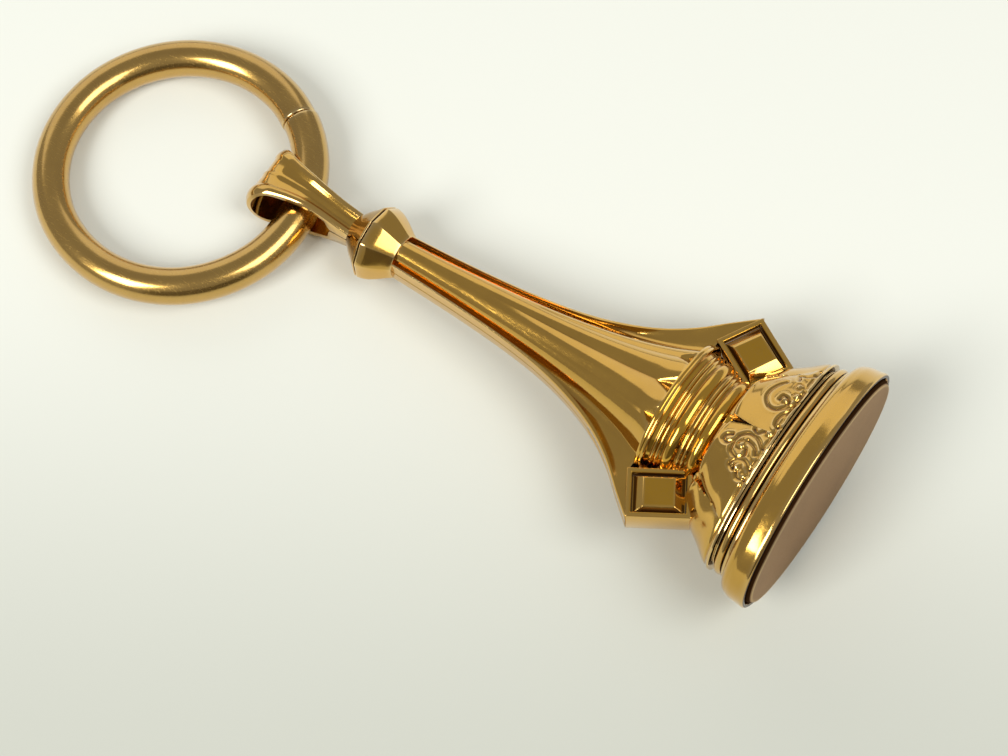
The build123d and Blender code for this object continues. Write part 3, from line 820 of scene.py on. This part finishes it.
class FOB_OT_foot(bpy.types.Operator):
    """Foot: a bell of six lobes, with scrolls on the front and back ones"""

    bl_idname = "fob.foot"
    bl_label = "Lobed Foot"

    # Scrolls of the two engraved lobes, in quarters of the bell's height along its
    # surface: from the crease between them, and from the rim
    near_lines = (
        ((1.10, 2.80), (1.25, 3.15), (1.58, 3.20), (1.72, 2.85), (1.45, 2.46), (1.00, 2.30),
         (0.64, 1.77), (0.80, 1.00), (1.29, 0.43)),
        ((1.60, 2.42), (2.10, 2.30), (2.43, 1.66), (2.10, 1.25), (1.72, 1.40)),
        ((1.16, 1.55), (1.40, 0.90), (1.85, 0.52)),
        ((3.15, 1.45), (2.92, 1.86), (2.56, 1.65), (2.46, 1.00), (2.85, 0.40)),
        ((0.22, 1.65), (0.42, 1.30), (0.16, 1.00)),
        ((3.35, 1.10), (3.62, 0.80), (3.60, 0.40)),
    )
    near_dots = ((0.12, 0.55), (1.55, 1.85), (2.95, 1.25))
    far_lines = (
        ((4.05, 1.77), (3.62, 2.10), (2.91, 2.36), (2.23, 2.30), (1.67, 1.77), (1.65, 1.11),
         (2.10, 0.71), (2.62, 0.77), (2.83, 1.31), (2.44, 1.44)),
        ((1.65, 1.11), (2.06, 0.51), (2.71, 0.26), (3.65, 0.20)),
        ((4.55, 1.11), (5.10, 1.26), (5.15, 0.75), (5.60, 0.40), (6.30, 0.34)),
        ((2.66, 0.15), (1.76, 0.38), (1.10, 0.64), (0.56, 0.51), (0.49, 0.14)),
    )
    far_dots = ((2.50, 1.02), (3.94, 0.77), (3.07, 0.48))
    side_lobe_half = 38.0

    def smooth(self, lines):
        """Points along smooth curves through these knots."""
        points = []
        for knots in lines:
            ends = np.array((knots[0], *knots, knots[-1]))
            for k in range(len(knots) - 1):
                p0, p1, p2, p3 = ends[k : k + 4]
                for t in np.linspace(0.0, 0.9, 10):
                    bend = (2 * p0 - 5 * p1 + 4 * p2 - p3) * t * t
                    bend += (3 * p1 - p0 - 3 * p2 + p3) * t**3
                    points.append(0.5 * (2 * p1 + (p2 - p0) * t + bend))
            points.append(ends[-1])
        return points

    def execute(self, context):
        at = levels(context)
        low, top = at["foot_base"], at["foot_top"]
        wide, deep, top_wide, top_deep, rise = lengths(
            context, "bezel_width", "bezel_depth", "foot_top_width", "foot_top_depth",
            "scroll_rise",
        )
        over_groove = lip_inset(context) - GROOVE + 0.4
        wide, deep = wide + over_groove, deep + over_groove
        places = (0.0, 0.15, 0.4, 0.68, 1.0)
        spread = curve(places, (1.0, 0.93, 0.68, 0.42, 0.0))
        crease = curve(places, (0.012, 0.028, 0.055, 0.08, 0.10))
        side = self.side_lobe_half
        corners = [-90, -side, side, 90, 180 - side, 180 + side, 270]
        fine, coarse = 170, 56
        angles = []
        for start, end in zip(corners, corners[1:]):
            count = coarse if end - start == 2 * side else fine
            angles += [(start, end, k / count) for k in range(count)]
        angles.append(angles[0])
        steps = 88

        starts, ends, s = np.array(angles).T
        turn = np.radians(between(starts, ends, s))
        off_middle = (2 * np.abs(s - 0.5)) ** 2.4
        shape = np.zeros((steps + 1, len(angles), 3))
        for j in range(steps + 1):
            h = j / steps
            pull = 1 - crease(h) * off_middle
            shape[j, :, 0] = between(top_wide, wide, spread(h)) * pull * np.cos(turn)
            shape[j, :, 1] = between(top_deep, deep, spread(h)) * pull * np.sin(turn)
            shape[j, :, 2] = between(low, top, h)
        rises = np.linalg.norm(np.diff(shape[:, 0], axis=0), axis=1)
        climb = np.concatenate([[0.0], np.cumsum(rises)])
        spans = np.linalg.norm(np.diff(shape, axis=1), axis=2)
        run = np.concatenate([np.zeros((steps + 1, 1)), np.cumsum(spans, axis=1)], axis=1)

        # Distance along the surface from the nearest lobe corner, and from the crease at
        # the middle of the front or back
        marks = [*np.flatnonzero(s[:-1] == 0), len(angles) - 1]
        near, inner, engraved = np.zeros((3, *run.shape))
        for first, last, (start, end) in zip(marks, marks[1:], zip(corners, corners[1:])):
            block = slice(first, last + 1)
            left = run[:, block] - run[:, first : first + 1]
            right = run[:, last : last + 1] - run[:, block]
            near[:, block] = np.minimum(left, right)
            if start in (-90, 90):
                inner[:, block] = left
                engraved[:, block] = 2
            elif end in (90, 270):
                inner[:, block] = right
                engraved[:, block] = 1
        height = climb[:, None] * np.ones_like(run)
        full = climb[-1]

        # Petal tips: each lobe stands proud below a rounded top edge
        notch = 1.55 * np.clip(1 - near / 0.34, 0, 1) ** 1.2
        notch += 0.30 * np.clip(1 - near / 1.3, 0, 1) ** 2
        below = full - 0.15 - notch - height
        lift = 0.21 * np.clip(below / 0.12 + 0.5, 0, 1)
        lift += 0.04 * swell(below - 0.14, 0.10)
        # Dark darts run down the creases from between the petal tips
        reach = np.clip(1 - (full - height) / 1.9, 0, 1)
        dart = np.clip(1 - near / (0.32 * reach + 0.01), 0, 1) * (reach > 0)
        lift -= 0.24 * dart
        scale = full / 4.0
        stain_and_shade = np.zeros_like(run)
        for kind, lines, dots in (
            (1, self.near_lines, self.near_dots), (2, self.far_lines, self.far_dots)
        ):
            lobe = engraved[0] == kind
            across, up = inner[:, lobe], height[:, lobe]
            gap = np.full_like(across, 9.0)
            for x, y in self.smooth(lines):
                gap = np.minimum(gap, np.hypot(across - x * scale, up - y * scale))
            carve = 0.45 * rise * swell(gap - 0.22, 0.12) - 0.95 * rise * swell(gap, 0.10)
            for x, y in dots:
                off = np.hypot(across - x * scale, up - y * scale)
                carve += 1.4 * rise * swell(off, 0.15) - 0.6 * rise * swell(off - 0.27, 0.07)
            lift[:, lobe] += carve
            # Dirt and painted shade: the scroll lines are darkened with the grime colour
            stain_and_shade[:, lobe] = 0.6 * swell(gap, 0.09)
        # Painted shade at the foot of the step round each petal tip; the darts are darkened as
        # well
        stain_and_shade += swell(below + 0.05, 0.09)
        stain_and_shade += np.clip(1.5 * dart, 0, 1)
        # Rolled rim with a fine groove above it
        lift += 0.06 * swell(height - 0.10, 0.09) - 0.05 * swell(height - 0.30, 0.07)

        across = np.zeros_like(shape)
        across[:, 1:-1] = shape[:, 2:] - shape[:, :-2]
        across[:, 0] = across[:, -1] = shape[:, 1] - shape[:, -2]
        upward = np.gradient(shape, axis=0)
        out = np.cross(across, upward)
        out /= np.linalg.norm(out, axis=2, keepdims=True)
        shape = shape + out * lift[..., None]
        shape[:, -1] = shape[:, 0]
        rows = shape.tolist()

        def spot(point):
            return tuple(round(c, 2) for c in point)

        stains_and_shade = {spot(p): share for p, share in zip(sum(rows, []), stain_and_shade.flat)}
        under = [(x * 0.93, y * 0.9, low) for x, y, _ in rows[0]]
        over = [(x * 0.8, y * 0.8, z) for x, y, z in rows[-1]]
        finish_piece(
            "Foot", shell([under] + rows + [over]), satin_gold(), ["foot_bell"], sharp=42.0,
            dirt_and_shade=lambda p: stains_and_shade.get(spot(p), 0.0),
        )
        return {"FINISHED"}


class FOB_OT_base(bpy.types.Operator):
    """Base: the moulding, its bead wire, the plain bezel and the seal plate"""

    bl_idname = "fob.base"
    bl_label = "Base and Seal"

    def execute(self, context):
        at = levels(context)
        wide, deep, bead, bevel = lengths(
            context, "bezel_width", "bezel_depth", "bead", "plate_bevel"
        )
        proud, base, lip, foot = [at[k] for k in ("seat", "bezel_top", "lip_top", "foot_base")]

        def ringed(name, outline, shade, node, dirt_and_shade):
            """Piece whose outline, given from the bezel's widest line, goes round the oval."""
            points = [(wide + out, deep + out, z) for out, z in outline]
            bm = shell(oval_rows(points, 224))
            finish_piece(name, bm, shade, [node], dirt_and_shade=dirt_and_shade)

        inset = lip_inset(context)
        groove = inset - GROOVE
        outline = [
            (groove - 0.7, base), (inset - 0.05, base), (inset, base + 0.04),
            (inset, base + 0.15), (inset - 0.04, base + 0.2), (groove + 0.02, lip),
            (groove, lip + 0.03), (groove, foot - 0.13), (groove + 0.16, foot - 0.10),
            (groove + 0.21, foot - 0.05), (groove + 0.21, foot), (groove - 0.7, foot),
        ]
        ringed(
            "Moulding", outline + outline[:1], body_gold(), "base_moulding",
            lambda p: lip - 0.03 < p.z < foot - 0.11,
        )
        centre, middle = groove + bead + CLEARANCE, lip + bead + CLEARANCE
        outline = [(centre + bead * cos(t), middle + bead * sin(t)) for t in turns(24)[:-1]]
        # Painted shade: the bead's top and bottom, which face the dark joints beside it, are
        # darkened with the grime colour
        ringed(
            "BeadWire", outline + outline[:1], body_gold(), "bead_wire",
            lambda p: smooth_step(0.55, 0.85, abs(p.z - middle) / bead),
        )

        inside, rise = -0.28, base - proud
        outline = [(inside, proud + 0.4), (inside, proud + 0.06), (inside + 0.03, proud + 0.02)]
        outline += [
            (-0.14, proud), (-0.09, proud + 0.015), (-0.04, proud + 0.05), (0.0, proud + 0.12)
        ]
        outline += [(-DRAFT * z, proud + z) for z in (0.3, 0.6, 0.9, rise - SHOULDER)]
        edge = -DRAFT * rise - SHOULDER * 0.95
        for t in [pi / 20 * k for k in range(1, 11)]:
            outline.append((edge + SHOULDER * 0.97 * cos(t), base - SHOULDER * (1 - sin(t))))
        outline += [(edge - 0.4, base), (edge - 0.4, base - 0.3), (inside, base - 0.3)]
        # Painted shade: the bezel's inner rim next to the seal plate is darkened with the grime
        # colour, for the dark groove there
        ringed(
            "Bezel", outline + outline[:1], body_gold(), "bezel_band",
            lambda p: p.z < proud + 0.03,
        )

        # The plate's face is ringed, so that its worn rim doesn't shade into its middle
        out, slope = inside - 0.13, 0.6 * bevel
        outline = [(out - far, 0.0) for far in (2.0, 1.0, 0.6, 0.42, 0.32)]
        outline += [
            (out - 2.2 * slope, 0.0), (out - 1.9 * slope, 0.006), (out - 1.6 * slope, 0.035),
            (out - 0.85 * slope, proud / 2), (out - 0.15 * slope, proud - 0.045),
            (out, proud - 0.02), (out, proud + 0.02), (out, proud + 0.6),
            (out - 0.5, proud + 0.65),
        ]
        # Painted shade and reflection: the plate's upper bevel and side wall are darkened with the
        # grime colour, for the dark band at the bezel
        ringed(
            "SealPlate", outline, seal_metal(), "seal_plate",
            lambda p: smooth_step(0.0, proud / 2, p.z),
        )
        return {"FINISHED"}


class FOB_OT_stage(bpy.types.Operator):
    """Stage: sheet of paper, soft lamps and the camera"""

    bl_idname = "fob.stage"
    bl_label = "Stage"

    def execute(self, context):
        scene = context.scene
        tints = scene.fob_colours

        def towards(azimuth, elevation):
            """Direction from the fob, with both angles in degrees."""
            turn, rise = radians(azimuth), radians(elevation)
            return Vector((cos(turn) * cos(rise), sin(turn) * cos(rise), sin(rise)))

        def face_fob(made, way, front):
            made.rotation_mode = "QUATERNION"
            made.rotation_quaternion = (-way).to_track_quat(front, "Y")
            scene.collection.objects.link(made)

        def sheet(name, cuts, half_wide, half_high, inputs):
            """Flat sheet with a dull material of its own."""
            bm = bmesh.new()
            bmesh.ops.create_grid(bm, x_segments=cuts, y_segments=cuts, size=1.0)
            bmesh.ops.scale(bm, vec=(half_wide, half_high, 1.0), verts=bm.verts)
            mesh = bpy.data.meshes.new(name)
            bm.to_mesh(mesh)
            bm.free()
            mesh.materials.append(new_material(name, inputs))
            return bpy.data.objects.new(name, mesh)

        paper = sheet("Paper", 8, 1.5, 1.5, {"Roughness": 0.85, "Specular IOR Level": 0.2})
        scene.collection.objects.link(paper)
        # Painted shade: the paper darkens towards the photographer's end, standing in for the
        # shadow there
        tree = paper.data.materials[0].node_tree
        where = add_node(tree, "TexCoord", {}).outputs["Object"]
        along = add_node(
            tree, "VectorMath", {0: where, 1: (-0.527, 0.850, 0.0)}, operation="DOT_PRODUCT"
        ).outputs["Value"]
        fade = add_node(
            tree, "MapRange", {"Value": along, "From Min": -0.030, "From Max": 0.008},
            interpolation_type="SMOOTHSTEP",
        ).outputs["Result"]
        tint = mix(tree, fade, (*tints.shade, 1), (*tints.paper, 1))
        feed(tree, tree.nodes["Principled BSDF"], {"Base Color": tint})

        world = bpy.data.worlds.new("Room")
        world.use_nodes = True
        tree = world.node_tree
        feed(tree, tree.nodes["Background"], {"Color": (*tints.room, 1), "Strength": 0.34})
        scene.world = world

        # Lamps half a metre away: direction, width and height in metres, strength
        for name, azimuth, elevation, across, along, strength in (
            ("Window", -107, 43, 0.19, 0.25, 10.6),
            ("Ceiling", 8, 55, 0.30, 0.25, 4.4),
            ("Wall", 140, 26, 0.62, 0.38, 0.65),
        ):
            light = bpy.data.lights.new(name, "AREA")
            light.shape = "RECTANGLE"
            light.size, light.size_y = across, along
            light.energy = strength * pi * across * along
            lamp = bpy.data.objects.new(name, light)
            way = towards(azimuth, elevation)
            lamp.location = way * 0.5
            face_fob(lamp, way, "-Z")

        # Camera of the photograph, fitted to the fob's ovals and its square ears
        photo_wide, lens_pixels, distance, sensor = 1008, 2553.331, 0.1485, 36.0
        azimuth, elevation, roll = 31.768, 65.883, radians(2.17)
        back = towards(azimuth - 90, elevation)
        right = towards(azimuth, 0)
        up = back.cross(right)
        across = right * cos(roll) + up * sin(roll)
        upward = up * cos(roll) - right * sin(roll)
        view = bpy.data.cameras.new("Camera")
        view.sensor_width = sensor
        view.lens = sensor * lens_pixels / photo_wide
        view.clip_start, view.clip_end = 0.01, 10.0
        camera = bpy.data.objects.new("Camera", view)
        turn = Matrix((across, upward, back)).transposed().to_4x4()
        target = Vector((6.624, -1.319, 2.0)) * MM
        camera.matrix_world = Matrix.Translation(target + back * distance) @ turn
        scene.collection.objects.link(camera)
        scene.camera = camera

        # Dark board at the side where the photographer stands, for the facets to mirror
        dull = {"Base Color": (0.14, 0.125, 0.11, 1), "Roughness": 0.9}
        board = sheet("Board", 1, 0.30, 0.13, dull)
        way = towards(-50, 0)
        board.location = way * 0.45 + Vector((0, 0, 0.13))
        board.visible_camera = False
        face_fob(board, way, "Z")
        scene.view_settings.view_transform = "Standard"
        return {"FINISHED"}


class FOB_OT_inside(bpy.types.Operator):
    """Inside: the peg, post, plug and backing keep their CAD shapes and get a brass finish"""

    bl_idname = "fob.inside"
    bl_label = "Hidden Pieces"

    def execute(self, context):
        brass = metal("Inner brass", "brass", 0.35, 0.3, 0.2)
        for name in ("ring_joint_peg", "bail_post", "column_plug", "seal_backing"):
            mesh = frame["nodes"][name].data
            mesh.materials.clear()
            mesh.materials.append(brass)
        return {"FINISHED"}


class FOB_PT_panel(bpy.types.Panel):
    """Lists the fob's pieces and sizes"""

    bl_idname = "FOB_PT_panel"
    bl_label = "Seal Fob"
    bl_space_type = "VIEW_3D"
    bl_region_type = "UI"
    bl_category = "Fob"

    def draw(self, context):
        for operator in PIECES:
            self.layout.operator(operator.bl_idname)
        for group in (context.scene.fob_sizes, context.scene.fob_colours):
            column = self.layout.column()
            for name in group.__annotations__:
                column.prop(group, name)


PIECES = (
    FOB_OT_stage, FOB_OT_ring, FOB_OT_bail, FOB_OT_knop, FOB_OT_column, FOB_OT_ears,
    FOB_OT_drum, FOB_OT_foot, FOB_OT_base, FOB_OT_inside,
)
CLASSES = (FobSizes, FobColours, *PIECES, FOB_PT_panel)


def register():
    for one in CLASSES:
        bpy.utils.register_class(one)
    bpy.types.Scene.fob_sizes = PointerProperty(type=FobSizes)
    bpy.types.Scene.fob_colours = PointerProperty(type=FobColours)


def unregister():
    del bpy.types.Scene.fob_colours
    del bpy.types.Scene.fob_sizes
    for one in reversed(CLASSES):
        bpy.utils.unregister_class(one)


def main():
    register()
    for operator in PIECES:
        space, name = operator.bl_idname.split(".")
        if getattr(getattr(bpy.ops, space), name)() != {"FINISHED"}:
            raise RuntimeError(operator.bl_label + " wasn't built")


if __name__ == "__main__":
    main()
